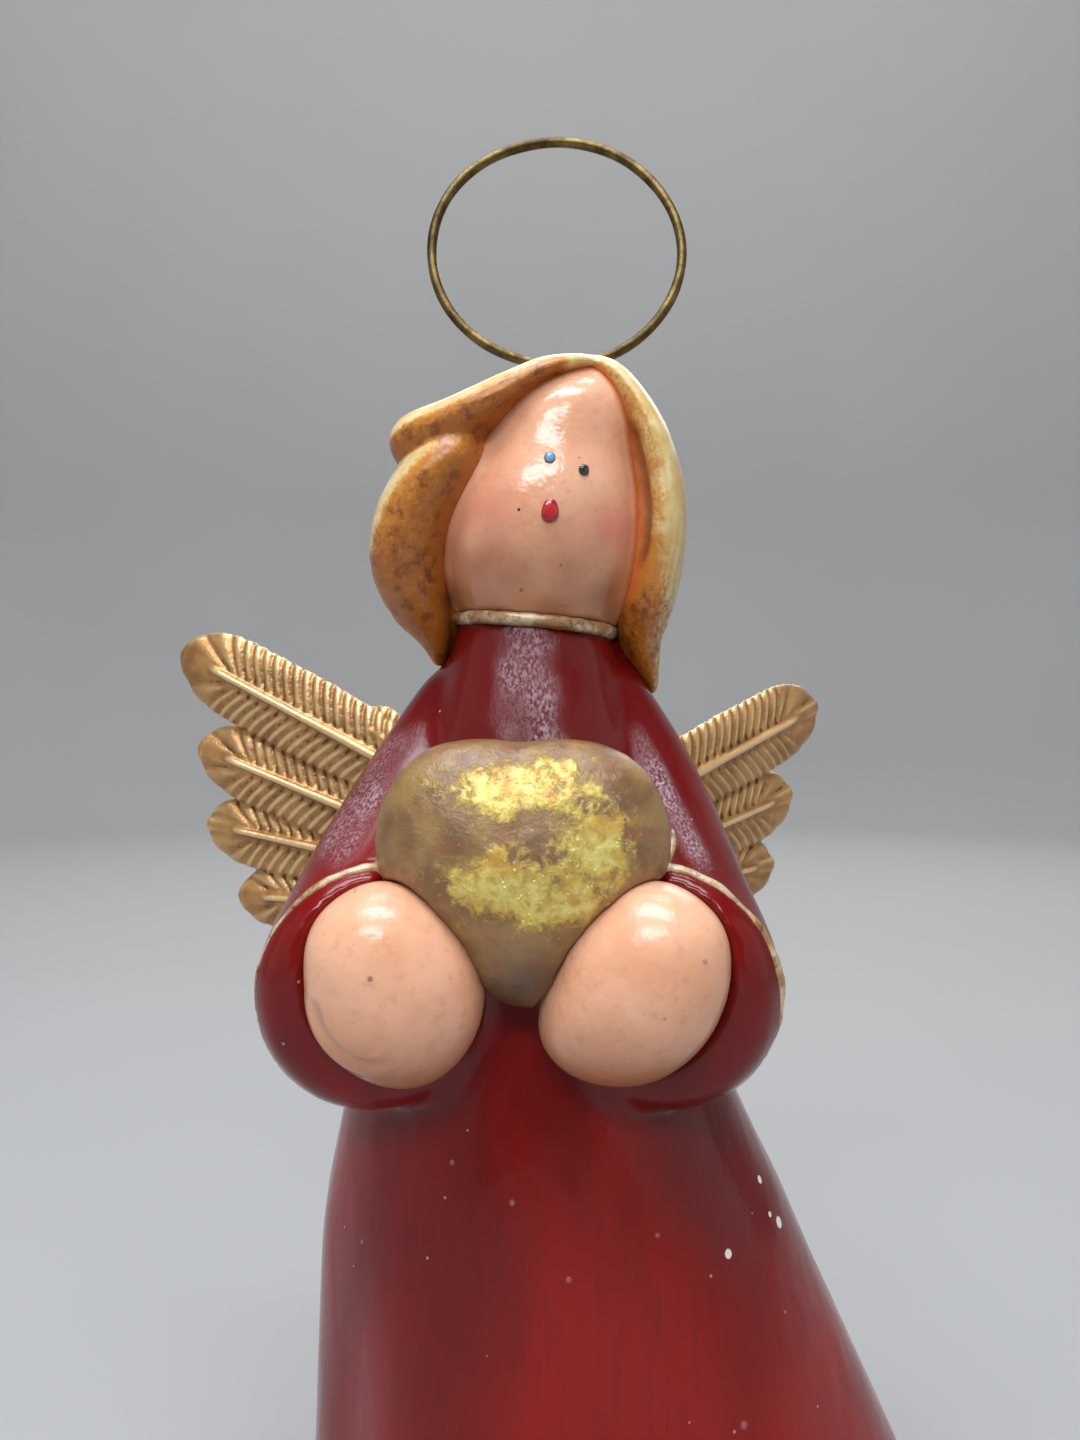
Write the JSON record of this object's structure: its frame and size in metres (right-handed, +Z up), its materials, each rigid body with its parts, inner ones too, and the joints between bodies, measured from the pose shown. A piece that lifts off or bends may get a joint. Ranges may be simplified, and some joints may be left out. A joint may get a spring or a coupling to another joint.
{
  "type": "angel figurine",
  "caption": "Free-standing glazed ceramic angel in a long robe, holding a heart, with cast feather wings, swept hair and a wire halo.",
  "frame": {"origin": "on the felt under the foot, in the middle plane of the arms and below the body's upright axis", "axes": "+Z up from the foot to the halo, -Y the way the figure faces, +X the figure's own left, where the train blows"},
  "size_m": [0.1258, 0.0903, 0.2257],
  "materials": {
    "robe_glaze": "deep red paint under a clear gloss glaze, with small bubbles and dust specks",
    "skin_glaze": "peach paint with blushed cheeks under a clear gloss glaze",
    "hair_glaze": "cream ground with an ochre and brown sponged wash under a clear gloss glaze",
    "trim_line": "thin raised cream and gold line, slightly grubby",
    "eye_enamel_dark": "raised dot of dark enamel",
    "eye_enamel_light": "raised dot of light blue enamel",
    "mouth_enamel": "raised oval of red enamel",
    "gold_leaf": "patchy gold leaf over brown paint, satin",
    "wing_gold": "antique gold paint, rubbed bright on the ribs and brown in the grooves",
    "aged_brass": "dull aged brass wire",
    "felt": "short green felt"
  },
  "bodies": {
    "root": {"robe_body": "robe_glaze", "base_felt": "felt", "collar_band": "trim_line", "head": "skin_glaze", "left_eye": "eye_enamel_dark", "right_eye": "eye_enamel_light", "mouth": "mouth_enamel", "hair_crown": "hair_glaze", "hair_upper_lock": "hair_glaze", "hair_lower_lock": "hair_glaze", "hair_side_fall": "hair_glaze", "left_sleeve": "robe_glaze", "right_sleeve": "robe_glaze", "left_cuff_trim": "trim_line", "right_cuff_trim": "trim_line", "left_cuff": "robe_glaze", "right_cuff": "robe_glaze", "left_hand": "skin_glaze", "right_hand": "skin_glaze", "heart": "gold_leaf", "left_wing": "wing_gold", "right_wing": "wing_gold", "wing_bridge": "wing_gold", "halo_wire": "aged_brass"}
  },
  "joints": []
}
